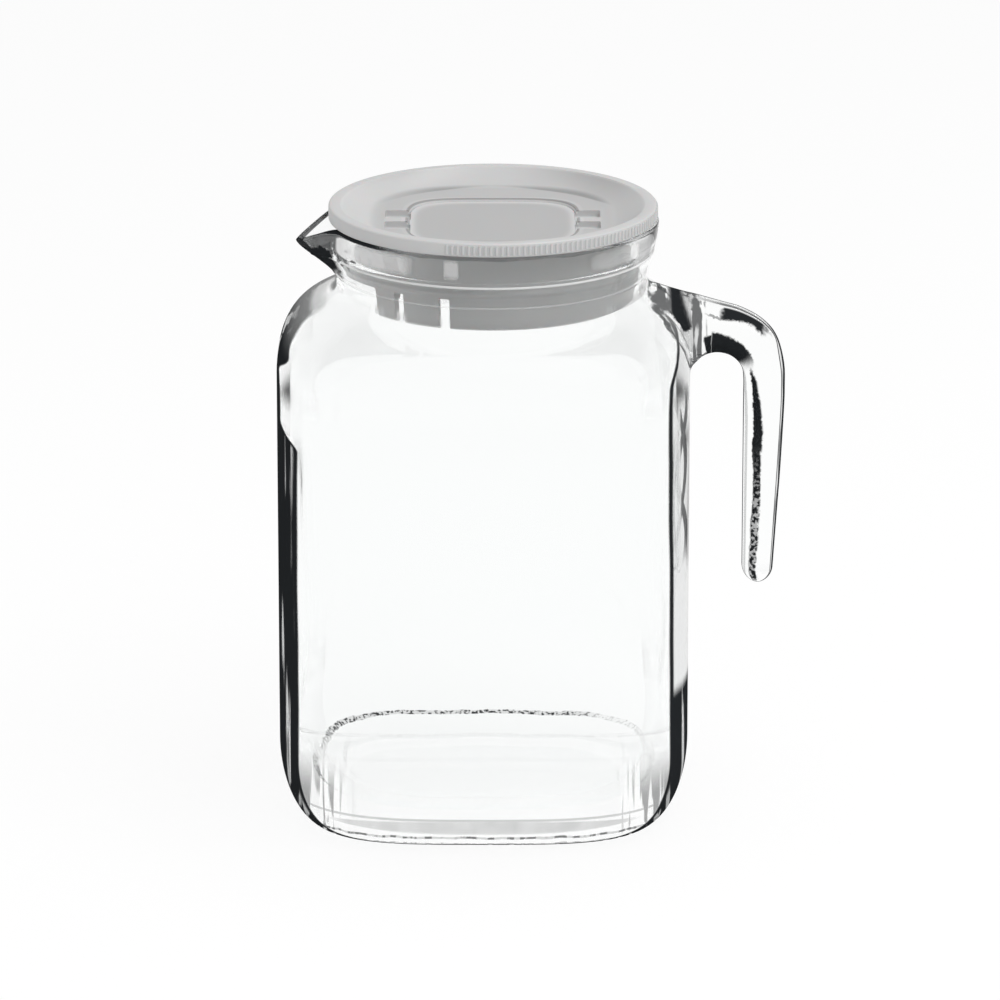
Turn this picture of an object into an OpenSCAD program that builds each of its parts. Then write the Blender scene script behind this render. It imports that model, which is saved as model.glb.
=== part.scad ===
// Two-litre fridge jug: square-section pressed glass with a round neck, a pouring lip and a
// hook handle that ends free, closed by a push-in plastic lid. Millimetres, +Z up, lip on -X.

/* [Glass body] */
// Width of the body across its flat sides
body_w = 125.4; // [105:0.2:145]
// Height of the body from the table to the foot of the neck
body_h = 158.5; // [150:0.5:170]
// How square the body's outline is: 2 is round, more is squarer
body_square_share = 3.1; // [2.4:0.1:5]
// How square the outline of the foot is
foot_square_share = 3.8; // [2.4:0.1:6]
// How far the foot stands in from the body's side
foot_inset = 11.8; // [7:0.2:15]
// Height of the rounded heel between the foot and the side
heel_h = 22.2; // [14:0.2:28]
// Height of the rounded shoulder between the side and the neck
shoulder_h = 21; // [16:0.5:28]
// Thickness of the glass in the side walls
wall_t = 3.6; // [2.6:0.1:4.6]
// Thickness of the glass floor
floor_t = 7.5; // [6:0.1:10]
// Width of the ring of glass that touches the table
foot_ring_w = 8.5; // [6:0.1:11]
// Depth of the hollow under the base
base_hollow_depth = 1.6; // [0.8:0.1:2.4]

/* [Neck] */
// How far the neck's axis lies towards the handle from the body's axis
neck_shift = 2.8; // [0:0.1:4]
// Height of the neck from its foot to the rim
neck_h = 24.5; // [21:0.5:28]
// Diameter of the straight bore inside the neck
bore_d = 87; // [84:0.1:90]
// Thickness of the glass at the foot of the neck
neck_wall_t = 3; // [2.4:0.1:4]
// How much wider than the bore the mouth is at the rim, on either side
mouth_flare = 3.2; // [2:0.1:4]
// Thickness of the glass at the rim
rim_t = 3.6; // [2.8:0.1:4.6]
// Height of the lower ring line above the foot of the neck
lower_ring_h = 8; // [6.5:0.1:9.5]
// Height of the upper ring line above the foot of the neck
upper_ring_h = 14.8; // [13.5:0.1:16]
// How far each ring line stands proud
ring_step = 0.5; // [0.2:0.05:0.8]

/* [Pouring lip] */
// How far the tip of the lip reaches beyond the rim
lip_reach = 9.9; // [5:0.1:12]
// How far the tip of the lip droops below the rim
lip_drop = 7.4; // [3:0.1:9]
// Half of the angle of rim that the lip takes up, in degrees
lip_half_angle = 25; // [18:1:32]
// Height above the foot of the neck where the lip starts to leave the neck
lip_start_h = 3.5; // [2:0.1:6]

/* [Handle] */
// Distance from the body's side to the inner face of the grip
finger_gap = 16.4; // [13:0.2:24]
// Thickness of the grip where it leaves the bend
grip_t = 12.6; // [10:0.1:15]
// Thickness of the grip at its free end
grip_end_t = 9.5; // [7:0.1:12]
// Width of the grip from front to back
grip_w = 19.6; // [15:0.2:24]
// Width of the grip at its free end
grip_end_w = 16; // [12:0.2:20]
// Distance of the arm's underside below the foot of the neck
arm_drop = 17.3; // [15.5:0.1:22]
// Thickness of the arm over the middle of the finger gap
arm_t = 14.6; // [12:0.1:16]
// How far the outside of the bend swells beyond an even curve
bend_swell = 1.2; // [0:0.1:2]
// Length of the grip from the level of the arm's underside to its free end
grip_l = 72.7; // [50:0.1:90]
// How far the top of the arm rises from the bend to the neck
arm_rise = 6.6; // [3:0.2:7.6]
// Width of the arm where it meets the neck
arm_root_w = 28; // [21:0.5:34]

/* [Lid] */
// How far the edge of the lid's flange stands in from the outside of the rim
lid_inset = 0.3; // [0:0.1:1]
// Height of the flange's edge
flange_h = 4.2; // [3.4:0.1:5.4]
// Width of the flat land round the top of the lid
land_w = 3.7; // [2.5:0.1:5]
// Thickness of the moulding
lid_t = 1.8; // [1.4:0.1:2.2]
// Depth of the dished top below the land
dish_depth = 5.2; // [3.5:0.1:6]
// Distance from inside the skirt to the dish's flat floor, towards the lip and the handle
dish_side_w = 7.9; // [6:0.1:9]
// Distance from inside the skirt to the dish's flat floor, across that line
dish_end_w = 4.4; // [3:0.1:8]
// Distance from the end of the dish's floor to the finger recess
recess_side_w = 7.4; // [5:0.1:11]
// Depth of the finger recess below the dish's floor
recess_depth = 1.2; // [0.6:0.1:2]
// Depth of the pockets at both ends of the recess
pocket_depth = 2.2; // [1:0.1:3]
// Length of the pockets along the recess's end
pocket_l = 22; // [16:0.5:26]
// Width of the bar that divides the pockets
pocket_bar_w = 4.8; // [3:0.1:6]
// Depth of the skirt below the flange
skirt_h = 24.3; // [20:0.1:28]
// Gap between the skirt's seal bead and the bore
seal_gap = 0.3; // [0.2:0.05:0.5]
// How far the seal bead stands out from the skirt
seal_bead = 0.5; // [0.3:0.05:0.8]
// Height of the seal bead above the lower edge of the skirt
seal_bead_h = 11.6; // [10.6:0.1:13]
// Height of the pouring opening and the strainer slots
slot_h = 9.8; // [6:0.1:10]
// Width of each strainer slot
slot_w = 3.4; // [2:0.1:5]
// Angle from the lip to the first strainer slot on either side, in degrees
slot_first_angle = 50; // [44:0.5:54]
// Angle from the first strainer slot to the second, in degrees
slot_step_angle = 20.5; // [14:0.5:24]
// Radius of the skirt's lower corners beside the pouring opening
slot_corner_r = 1.8; // [1:0.1:4]
// Half of the angle that the pouring opening takes up, in degrees
pour_half_angle = 37; // [25:1:42]
// Radius of the rounded edges on top of the lid
land_round = 0.8; // [0.4:0.1:1.2]
// Angle from the lip to the first grip rib on either side, in degrees
rib_start_angle = 73; // [60:1:100]
// Depth of the grip ribs on the flange's edge
rib_depth = 0.35; // [0.2:0.05:0.6]
// Spacing of the grip ribs along the flange's edge
rib_pitch = 1.68; // [1.3:0.02:3]

/* [Hidden] */
$fn = 96;
glass = [0.86, 0.90, 0.90, 0.45];
plastic = [0.78, 0.78, 0.78];

// One overrun for every cut
over = 1;
body_r = body_w / 2;
bore_r = bore_d / 2;
neck_r = bore_r + neck_wall_t;
mouth_r = bore_r + mouth_flare;
rim_r = mouth_r + rim_t;
rim_z = body_h + neck_h;
shoulder_z = body_h - shoulder_h;
foot_r = body_r - foot_inset;

// Handle places: the bend turns about one point, with the grip's inner face on its small radius
grip_in_x = body_r + finger_gap;
bend_inner_r = finger_gap / 2;
bend_x = grip_in_x - bend_inner_r;
arm_under_z = body_h - arm_drop;
bend_z = arm_under_z - bend_inner_r;
grip_end_z = arm_under_z - grip_l;
grip_out_x = grip_in_x + grip_t;

// The part's origin lies under the middle of its whole width
origin_x = (grip_out_x - body_r) / 2;

// Lid places
lid_r = rim_r - lid_inset;
lid_z = rim_z + flange_h;
dish_z = lid_z - dish_depth;
recess_z = dish_z - recess_depth;
skirt_r = bore_r - seal_gap - seal_bead;
skirt_in_r = skirt_r - lid_t;
skirt_z = rim_z - skirt_h;
bead_z = skirt_z + seal_bead_h;
tray_under_z = recess_z - lid_t;
dish_under_z = dish_z - lid_t;
dish_floor_w = 2 * (skirt_in_r - dish_side_w);
dish_floor_l = 2 * (skirt_in_r - dish_end_w);
recess_w = dish_floor_w - 2 * recess_side_w;
pocket_out_x = (dish_floor_w - land_round) / 2;
tray_r = norm([pocket_out_x, pocket_l / 2]) + lid_t / 2;
// Hollow under the flange, between its land and its turned-down edge
groove_in_r = lid_r - land_w - lid_t / 2;

// Angles of the points round every glass section, closer together at the lip
coarse_step = 6;
fine_step = 2.5;
fine_from = 150;
half_angles = concat(
    [for (a = [0 : coarse_step : fine_from - coarse_step]) a],
    [for (a = [fine_from : fine_step : 180 - fine_step / 2]) a]
);
angles = concat(half_angles, [180], [for (i = [len(half_angles) - 1 : -1 : 1]) 360 - half_angles[i]]);

// Radius of a rounded square of half-width r in the direction a
function square_r(r, share, a) = r / pow(pow(abs(cos(a)), share) + pow(abs(sin(a)), share), 1 / share);

// One level section of the glass: a rounded square about x
function section(r, share, x, z) = [
    for (a = angles)
        [x + square_r(r, share, a) * cos(a), square_r(r, share, a) * sin(a), z]
];

// How much of the lip there is in direction a: 1 at its tip and 0 beyond its half angle
tip_round_angle = 1.6;
lip_side_power = 1.9;
lip_rise_power = 1.5;
function lip_at(a, half) =
    let (off = sqrt(pow(a - 180, 2) + pow(tip_round_angle, 2)) - tip_round_angle / 2)
    pow(max(0, 1 - off / half), lip_side_power);

// One section of the neck, pushed out and down at the lip; rise runs from 0 at its foot to 1
function lip_section(r, z, rise, half) = [
    for (a = angles)
        let (push = pow(sin(90 * rise), lip_rise_power) * lip_at(a, half), drop = rise * rise * lip_at(a, half))
        [neck_shift + (r + lip_reach * push) * cos(a), (r + lip_reach * push) * sin(a), z - lip_drop * drop]
];

// A solid through a chain of sections, closed at a point before the first and one after the last
module loft(sections, first, last) {
    n = len(sections[0]);
    m = len(sections);
    polyhedron(
        points = concat([for (s = sections) each s], [first, last]),
        faces = concat(
            [for (k = [0 : m - 2], i = [0 : n - 1])
                each [
                    [k * n + i, (k + 1) * n + i, (k + 1) * n + (i + 1) % n],
                    [k * n + i, (k + 1) * n + (i + 1) % n, k * n + (i + 1) % n]
                ]],
            [for (i = [0 : n - 1]) [m * n, i, (i + 1) % n]],
            [for (i = [0 : n - 1]) [m * n + 1, (m - 1) * n + (i + 1) % n, (m - 1) * n + i]]
        ),
        convexity = 6
    );
}

// The outside of the body and neck, from the foot up
heel_steps = 6;
shoulder_steps = 7;
// Heights in the neck, as shares of the stretch that each follows
neck_flare_shares = [0.25, 0.5, 0.75, 0.93];
function rise_at(z) = max(0, (z - body_h - lip_start_h) / (neck_h - lip_start_h));
// The neck is straight up to the lower ring line and flares in a quarter wave from there to the rim
function neck_out_r(z) =
    neck_r + (rim_r - neck_r) * sin(90 * max(0, z - lower_ring_z) / (rim_z - lower_ring_z));
function neck_level(z, extra) = lip_section(neck_out_r(z) + extra, z, rise_at(z), lip_half_angle);

lower_ring_z = body_h + lower_ring_h;
upper_ring_z = body_h + upper_ring_h;
heel_sections = [for (i = [0 : heel_steps])
    let (t = 90 * i / heel_steps)
    section(
        foot_r + foot_inset * sin(t),
        foot_square_share + (body_square_share - foot_square_share) * sin(t),
        0,
        heel_h * (1 - cos(t))
    )];
shoulder_sections = [for (i = [0 : shoulder_steps])
    let (t = 90 * i / shoulder_steps)
    section(
        neck_r + (body_r - neck_r) * cos(t),
        2 + (body_square_share - 2) * cos(t),
        neck_shift * (1 - cos(t)),
        shoulder_z + shoulder_h * sin(t)
    )];
neck_sections = concat(
    [neck_level(body_h + lip_start_h, 0)],
    [neck_level((body_h + lip_start_h + lower_ring_z) / 2, 0)],
    [neck_level(lower_ring_z - ring_step, 0), neck_level(lower_ring_z, ring_step / 2)],
    [neck_level(lower_ring_z + ring_step, 0), neck_level((lower_ring_z + upper_ring_z) / 2, 0)],
    [neck_level(upper_ring_z - ring_step, 0), neck_level(upper_ring_z, ring_step / 2)],
    [neck_level(upper_ring_z + ring_step, 0)],
    [for (s = neck_flare_shares) neck_level(upper_ring_z + (rim_z - upper_ring_z) * s, 0)],
    [lip_section(rim_r - ring_step, rim_z, 1, lip_half_angle)]
);

// The outside from the top of the heel to between the ring lines, which the handle is fused on
fused_levels = 5;
module fused_side() loft(
    concat([heel_sections[heel_steps]], shoulder_sections, [for (i = [0 : fused_levels]) neck_sections[i]]),
    [0, 0, heel_h],
    [neck_shift, 0, neck_sections[fused_levels][0][2]]
);

// The inside from the rim down: the flared mouth with the channel of the lip, and the straight bore
mouth_shares = [0.92, 0.75, 0.55, 0.35, 0.15];
// How much narrower than its outside the lip's channel is, to either side
lip_wall_angle = 3.6;
// The bore's flats, not its corners, stand at its radius
throat_r = bore_r / cos(coarse_step / 2);
channel_half_angle = lip_half_angle - lip_wall_angle;
channel_z = body_h + lip_start_h;
mouth_sections = concat(
    [lip_section(mouth_r + ring_step, rim_z, 1, channel_half_angle)],
    [for (s = mouth_shares)
        let (
            z = channel_z + wall_t + (rim_z - channel_z - wall_t) * s,
            up = max(0, z - upper_ring_z) / (rim_z - upper_ring_z)
        )
        lip_section(throat_r + (mouth_r - throat_r) * sqrt(up), z, s, channel_half_angle)],
    [lip_section(throat_r, channel_z, 0, channel_half_angle)]
);

// The room for the drink from the neck down
inner_r = body_r - wall_t;
inner_shoulder_sections = [for (i = [0 : shoulder_steps])
    let (t = 90 * (1 - i / shoulder_steps))
    section(
        throat_r + (inner_r - throat_r) * cos(t),
        2 + (body_square_share - 2) * cos(t),
        neck_shift * (1 - cos(t)),
        shoulder_z + (shoulder_h - wall_t) * sin(t)
    )];
inner_heel_shares = [1, 0.97, 0.9, 0.78, 0.62];
inner_heel_sections = [for (i = [0 : len(inner_heel_shares) - 1])
    let (t = 90 * (1 - i / (len(inner_heel_shares) - 1)))
    section(
        inner_r * inner_heel_shares[i],
        body_square_share,
        0,
        floor_t + (heel_h - floor_t / 4) * (1 - cos(t))
    )];

// The shallow hollow under the base, inside the ring that touches the table; its edge runs in by
// this share of its depth
hollow_slope_share = 3;
hollow_r = foot_r - foot_ring_w;
hollow_sections = [
    section(hollow_r - base_hollow_depth * hollow_slope_share, foot_square_share, 0, base_hollow_depth),
    section(hollow_r, foot_square_share, 0, 0)
];

// One skin from the hollow under the base up the outside, over the rim, and down the inside to the floor
module glass_body() color(glass) loft(
    concat(
        hollow_sections,
        heel_sections,
        shoulder_sections,
        neck_sections,
        mouth_sections,
        inner_shoulder_sections,
        inner_heel_sections
    ),
    [0, 0, base_hollow_depth],
    [0, 0, floor_t]
);

// One section across the handle at the centre [x, z], turned by the angle of its outward side
grip_points = 20;
grip_round_share = 2.6;
function grip_section(x, z, turn, thick, wide) = [
    for (i = [0 : grip_points - 1])
        let (
            a = -360 * i / grip_points,
            out = square_r(thick / 2, grip_round_share, a) * cos(a),
            side = square_r(1, grip_round_share, a) * sin(a) * wide / 2
        )
        [x + out * cos(turn), side, z + out * sin(turn)]
];

// The arm runs from inside the neck's wall to the bend, its underside the near half of the arch
// over the finger gap; the bend turns it down, and the grip tapers to a rounded free end
root_shares = [1.2, 0.95, 0.7, 0.45, 0.2];
arch_shares = [1, 0.97, 0.88, 0.7, 0.45, 0.2];
bend_steps = 8;
grip_steps = 5;
end_steps = 4;
// The last section stops a little short of the tip
end_turn = 84;
module handle_sweep() {
    root_x = neck_shift + neck_r;
    straight_l = grip_l - bend_inner_r - grip_end_t / 2;
    places = concat(
        [for (s = root_shares) [body_r - (body_r - root_x) * s, 0]],
        [for (s = arch_shares) [bend_x - bend_inner_r * s, bend_inner_r * sqrt(1 - s * s)]]
    );
    arm = [for (p = places)
        let (
            t = (bend_x - p[0]) / (bend_x - root_x),
            top = arm_under_z + arm_t + arm_rise * t,
            under = bend_z + p[1]
        )
        grip_section(p[0], (top + under) / 2, 90, top - under, grip_w + (arm_root_w - grip_w) * t * t)];
    bend = [for (i = [0 : bend_steps])
        let (
            t = 90 * (1 - i / bend_steps),
            thick = grip_t + (arm_t - grip_t) * sin(t) + bend_swell * sin(2 * t),
            r = bend_inner_r + thick / 2
        )
        grip_section(bend_x + r * cos(t), bend_z + r * sin(t), t, thick, grip_w)];
    grip = [for (i = [1 : grip_steps])
        let (
            s = i / grip_steps,
            thick = grip_t + (grip_end_t - grip_t) * s,
            wide = grip_w + (grip_end_w - grip_w) * s
        )
        grip_section(grip_in_x + thick / 2, bend_z - straight_l * s, 0, thick, wide)];
    tip = [for (i = [1 : end_steps])
        let (t = end_turn * i / end_steps)
        grip_section(
            grip_in_x + grip_end_t / 2,
            bend_z - straight_l - grip_end_t / 2 * sin(t),
            0,
            grip_end_t * cos(t),
            grip_end_w - grip_end_t + grip_end_t * cos(t)
        )];
    loft(
        concat(arm, bend, grip, tip),
        [places[0][0], 0, arm_under_z],
        [grip_in_x + grip_end_t / 2, 0, grip_end_z]
    );
}

module glass_handle() color(glass) difference() {
    handle_sweep();
    fused_side();
}

// Grip ribs on the flange's edge, left out in front of the lip
module grip_ribs() {
    step = rib_pitch / lid_r * 180 / PI;
    count = floor((360 - 2 * rib_start_angle) / step);
    start = 180 + rib_start_angle;
    // Corners of one rib, as shares of its pitch and of its depth
    corner_shares = [[0.1, 0], [0.3, 1], [0.6, 1], [0.8, 0]];
    points = [for (i = [0 : count - 1], c = corner_shares)
        let (a = start + (i + c[0]) * step, r = lid_r - rib_depth * (1 - c[1]))
        [r * cos(a), r * sin(a)]];
    translate([0, 0, rim_z + land_round])
        linear_extrude(flange_h - 2 * land_round) polygon(concat(points, [[0, 0]]));
}

// Everything round about the lid: flange with a turned-down edge, skirt with its seal bead,
// and the tray under the dished top
module lid_round() {
    flange_r = lid_r - rib_depth;
    corner = [for (t = [0 : 30 : 90]) [flange_r - land_round * (1 - cos(t)), lid_z - land_round * (1 - sin(t))]];
    rotate_extrude()
        polygon(concat(
            [
                [0, tray_under_z],
                [tray_r, tray_under_z],
                [tray_r + lid_t, dish_under_z],
                [skirt_in_r, dish_under_z],
                [skirt_in_r, skirt_z],
                [skirt_r - lid_t / 3, skirt_z],
                [skirt_r, skirt_z + lid_t],
                [skirt_r, bead_z - seal_bead],
                [skirt_r + seal_bead, bead_z],
                [skirt_r + seal_bead, bead_z + seal_bead],
                [skirt_r, bead_z + 2 * seal_bead],
                [skirt_r, rim_z],
                [groove_in_r - lid_t / 2, rim_z],
                [groove_in_r + lid_t / 2, lid_z - lid_t],
                [flange_r - lid_t, lid_z - lid_t],
                [flange_r - lid_t, rim_z],
                [flange_r, rim_z]
            ],
            corner,
            [[0, lid_z]]
        ));
}

// A level section in the lid: a rounded rectangle, or a circle at a share of 2
function lid_section(wide, long, share, z) = [
    for (a = [0 : 5 : 355])
        let (r = square_r(1, share, a))
        [wide / 2 * r * cos(a), long / 2 * r * sin(a), z]
];

recess_share = 4;
dish_share = 3.2;
dish_slope_shares = [[0.35, 0.5], [0.75, 0.88]];
module dish() {
    top_d = 2 * (lid_r - land_w);
    slope = [for (s = dish_slope_shares)
        lid_section(
            top_d + (dish_floor_w - top_d) * s[0],
            top_d + (dish_floor_l - top_d) * s[0],
            2 + (dish_share - 2) * s[0],
            lid_z - dish_depth * s[1]
        )];
    loft(
        concat(
            [lid_section(dish_floor_w, dish_floor_l, dish_share, dish_z)],
            [slope[1], slope[0]],
            [lid_section(top_d, top_d, 2, lid_z), lid_section(top_d + land_round, top_d + land_round, 2, lid_z + over)]
        ),
        [0, 0, dish_z],
        [0, 0, lid_z + over]
    );
}

module recess() {
    loft(
        [
            lid_section(recess_w - 2 * land_round, recess_w - 2 * land_round, recess_share, recess_z),
            lid_section(recess_w - land_round / 2, recess_w - land_round / 2, recess_share, dish_z - land_round),
            lid_section(recess_w, recess_w, recess_share, dish_z + over)
        ],
        [0, 0, recess_z],
        [0, 0, dish_z + over]
    );
}

// Pockets at both ends of the recess, each divided by a bar
module pockets() {
    in_x = recess_w / 2 - land_round;
    clear_l = (pocket_l - pocket_bar_w) / 2;
    for (end = [0, 1], side = [0, 1])
        mirror([end, 0, 0]) mirror([0, side, 0])
            translate([in_x, pocket_bar_w / 2, dish_z - pocket_depth])
                cube([pocket_out_x - in_x, clear_l, pocket_depth + over]);
}

// Opening and slots in the lower part of the skirt, on the side of the lip
module pour_opening() {
    reach = 2 * skirt_r;
    corner = slot_corner_r;
    opening_w = 2 * skirt_r * sin(pour_half_angle);
    translate([-reach, 0, skirt_z]) rotate([90, 0, 90]) linear_extrude(reach) polygon(concat(
        [[-opening_w / 2 - corner, -over]],
        [for (t = [90 : -30 : 0]) [-opening_w / 2 - corner * (1 - cos(t)), corner * (1 - sin(t))]],
        [[-opening_w / 2, slot_h], [opening_w / 2, slot_h]],
        [for (t = [0 : 30 : 90]) [opening_w / 2 + corner * (1 - cos(t)), corner * (1 - sin(t))]],
        [[opening_w / 2 + corner, -over]]
    ));
}

module strainer_slots() {
    for (side = [-1, 1], a = [slot_first_angle, slot_first_angle + slot_step_angle])
        rotate([0, 0, 180 + side * a])
            translate([skirt_in_r - lid_t, -slot_w / 2, skirt_z - over])
                cube([3 * lid_t, slot_w, slot_h + over]);
}

module lid() color(plastic) translate([neck_shift, 0, 0]) difference() {
    union() {
        lid_round();
        difference() {
            grip_ribs();
            translate([0, 0, rim_z]) cylinder(r = lid_r - lid_t, h = flange_h);
        }
    }
    dish();
    recess();
    pockets();
    pour_opening();
    strainer_slots();
}

translate([-origin_x, 0, 0]) {
    glass_body();
    glass_handle();
    lid();
}
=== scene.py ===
import math

import bmesh
import bpy
import numpy as np
from bpy.props import FloatProperty, FloatVectorProperty, PointerProperty
from bpy.types import Operator, Panel, PropertyGroup
from mathutils import Matrix, Vector
from mathutils.bvhtree import BVHTree
from mathutils.kdtree import KDTree


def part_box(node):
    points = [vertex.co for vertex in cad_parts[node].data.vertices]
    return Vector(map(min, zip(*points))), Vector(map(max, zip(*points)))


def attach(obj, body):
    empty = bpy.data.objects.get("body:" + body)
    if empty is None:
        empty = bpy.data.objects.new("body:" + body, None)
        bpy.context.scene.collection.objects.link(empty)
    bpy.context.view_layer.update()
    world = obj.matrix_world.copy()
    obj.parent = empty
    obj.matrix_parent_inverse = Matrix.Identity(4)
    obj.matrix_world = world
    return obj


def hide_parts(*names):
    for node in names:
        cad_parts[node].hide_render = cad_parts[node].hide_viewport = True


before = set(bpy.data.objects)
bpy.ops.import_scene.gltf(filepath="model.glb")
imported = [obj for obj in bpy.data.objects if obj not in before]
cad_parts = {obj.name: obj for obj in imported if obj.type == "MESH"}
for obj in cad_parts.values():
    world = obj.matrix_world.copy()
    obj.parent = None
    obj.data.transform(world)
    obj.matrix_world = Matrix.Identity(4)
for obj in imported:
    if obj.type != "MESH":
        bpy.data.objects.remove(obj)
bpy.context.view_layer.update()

bl_info = {
    "name": "Glass pitcher",
    "version": (1, 0, 0),
    "blender": (4, 5, 0),
    "location": "View3D > Sidebar > Pitcher",
    "description": "Builds the clear glass jug, its push-in lid and a plain studio around the packed model",
    "category": "Object",
}

JUG_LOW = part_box("glass_body")[0]


# ---- Sizes and finishes that a user would change ----

def number(words, value, **more):
    return FloatProperty(name=words, default=value, **more)


def length(words, millimetres):
    return number(words, millimetres / 1000, unit="LENGTH", precision=5)


def angle(words, degrees):
    return number(words, math.radians(degrees), unit="ROTATION")


def colour(words, value):
    return FloatVectorProperty(name=words, default=value, size=3, min=0, max=1, subtype="COLOR")


class GlassSizes(PropertyGroup):
    """Sizes of the blown and pressed glass"""

    body_w: length("Width of the body across its flat sides", 125.4)
    body_h: length("Height from the table to the foot of the neck", 158.5)
    body_share: number("Squareness of the body, where 2 is round", 3.1)
    foot_share: number("Squareness of the foot, where 2 is round", 3.8)
    foot_inset: length("How far the foot stands in from the side", 11.8)
    heel_h: length("Height of the rounded heel", 22.2)
    shoulder_h: length("Height of the rounded shoulder", 21)
    wall_t: length("Thickness of the side walls", 3.6)
    floor_t: length("Thickness of the glass floor", 7.5)
    ring_w: length("Width of the ring that touches the table", 8.5)
    hollow_depth: length("Depth of the hollow under the base", 1.6)
    neck_shift: length("How far the neck lies towards the handle", 2.8)
    neck_h: length("Height of the neck from its foot to the rim", 24.5)
    neck_d: length("Outside diameter at the foot of the neck", 93)
    bore_d: length("Diameter of the straight bore of the neck", 87)
    rim_d: length("Outside diameter of the rim", 100.6)
    mouth_d: length("Inside diameter of the mouth at the rim", 93.4)
    lower_ring_h: length("Height of the lower ring line above the foot of the neck", 8)
    upper_ring_h: length("Height of the upper ring line above the foot of the neck", 14.8)
    ring_step: length("How far the ring lines stand proud, twice over", 0.5)
    lip_reach: length("How far the tip of the lip reaches beyond the rim", 9.9)
    lip_drop: length("How far the tip of the lip droops below the rim", 7.4)
    lip_start_h: length("Height above the foot of the neck where the lip starts", 3.5)
    lip_half: angle("Half of the angle of rim that the lip takes up", 25)
    wave: length("How much the thickness of the wall varies", 0.9)


class HandleSizes(PropertyGroup):
    """Sizes of the fused handle"""

    finger_gap: length("From the body's side to the inner face of the grip", 16.4)
    grip_t: length("Thickness of the grip where it leaves the bend", 12.6)
    grip_end_t: length("Thickness of the grip at its free end", 9.5)
    grip_w: length("Width of the grip from front to back", 19.6)
    grip_end_w: length("Width of the grip at its free end", 16)
    root_w: length("Width of the arm where it meets the neck", 28)
    under_z: length("Height of the arm's underside above the table", 141.2)
    end_z: length("Height of the grip's free end above the table", 68.5)
    fillet: length("How far the fused seam is rounded", 3.2)


class LidSizes(PropertyGroup):
    """Sizes of the moulded lid"""

    lid_d: length("Diameter of the flange", 100)
    flange_h: length("Height of the flange's edge", 4.2)
    land_w: length("Width of the flat land round the top", 3.7)
    lid_t: length("Thickness of the moulding", 1.8)
    dish_depth: length("Depth of the dished top", 5.2)
    dish_w: length("Width of the dish's floor, from lip to handle", 66)
    dish_l: length("Length of the dish's floor, across that line", 73)
    recess_w: length("Width of the finger recess", 51.2)
    recess_depth: length("Depth of the finger recess", 1.2)
    pocket_depth: length("Depth of the pockets at the recess's ends", 2.2)
    pocket_l: length("Length of the pockets along the recess's end", 22)
    bar_w: length("Width of the bar between the pockets", 4.8)
    skirt_h: length("Depth of the skirt below the flange", 24.3)
    seal_gap: length("Gap between the seal bead and the bore", 0.3)
    seal_bead: length("How far the seal bead stands out", 0.5)
    seal_bead_h: length("Height of the bead above the skirt's lower edge", 11.6)
    slot_h: length("Height of the pouring opening and the slots", 9.8)
    slot_w: length("Width of each strainer slot", 3.4)
    slot_first: angle("Angle from the lip to the first slot", 50)
    slot_step: angle("Angle from the first slot to the second", 20.5)
    pour_half: angle("Half of the angle of the pouring opening", 37)
    edge_round: length("Radius of the rounded top edges", 0.8)
    rib_depth: length("How far the grip ribs stand proud", 0.35)
    rib_start: angle("Angle from the lip to the first rib", 73)
    rib_step: angle("Angle from rib to rib", 1.925)


class Finishes(PropertyGroup):
    """Colours of the glass and the plastic"""

    glass: colour("Tint of the clear glass", (0.985, 0.992, 0.99))
    # Painted shade: the dark colour painted on the glass where the eye grazes it, in place of dark refraction
    painted_graze_shade: colour("Colour of the glass where the eye grazes it", (0.02, 0.022, 0.024))
    plastic: colour("Satin grey of the lid", (0.6, 0.6, 0.6))


class StudioSettings(PropertyGroup):
    """The floor, the light and the camera"""

    floor_size: length("Width of the floor", 9000)
    lens: number("Focal length in millimetres", 258.9)
    distance: length("From the camera to the point it looks at", 2200)
    pitch: angle("How far the camera looks down", 16.649)
    aim_z: length("Height of the point that the camera looks at", 93.43)
    aim_off: length("How far that point lies from the neck's axis", 2.22)
    key_power: number("Power of the softbox overhead, in watts", 11)
    ambient: number("Level of the surrounding light", 0.62)


# ---- Meshes ----

def link(name, data):
    """A new object in the scene, at the origin"""
    obj = bpy.data.objects.new(name, data)
    bpy.context.scene.collection.objects.link(obj)
    return obj


def put(name, points, faces):
    """A new smooth object from points in metres"""
    mesh = bpy.data.meshes.new(name)
    mesh.from_pydata([tuple(p) for p in points], [], [tuple(f) for f in faces])
    mesh.shade_smooth()
    mesh.update()
    return link(name, mesh)


def skin(rings, first, last):
    """Points and faces of a closed skin through equal rings, with a point at either end"""
    count = len(rings[0])
    points = np.vstack(list(rings) + [[first], [last]])
    faces = []
    for k in range(len(rings) - 1):
        for i in range(count):
            j = (i + 1) % count
            faces.append((k * count + i, k * count + j, (k + 1) * count + j, (k + 1) * count + i))
    start, end = len(points) - 2, len(points) - 1
    top = (len(rings) - 1) * count
    for i in range(count):
        j = (i + 1) % count
        faces.append((start, j, i))
        faces.append((end, top + i, top + j))
    return points, faces


def squircle(half, squareness, angles):
    """Radius of a rounded square of a half width at some angles"""
    return half / (np.abs(np.cos(angles)) ** squareness + np.abs(np.sin(angles)) ** squareness) ** (1 / squareness)


def outward(obj):
    """Merges doubles and turns all faces outwards"""
    shape = bmesh.new()
    shape.from_mesh(obj.data)
    bmesh.ops.remove_doubles(shape, verts=shape.verts, dist=1e-7)
    bmesh.ops.recalc_face_normals(shape, faces=shape.faces)
    if shape.calc_volume(signed=True) < 0:
        bmesh.ops.reverse_faces(shape, faces=shape.faces)
    shape.to_mesh(obj.data)
    shape.free()
    obj.data.shade_smooth()


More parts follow.
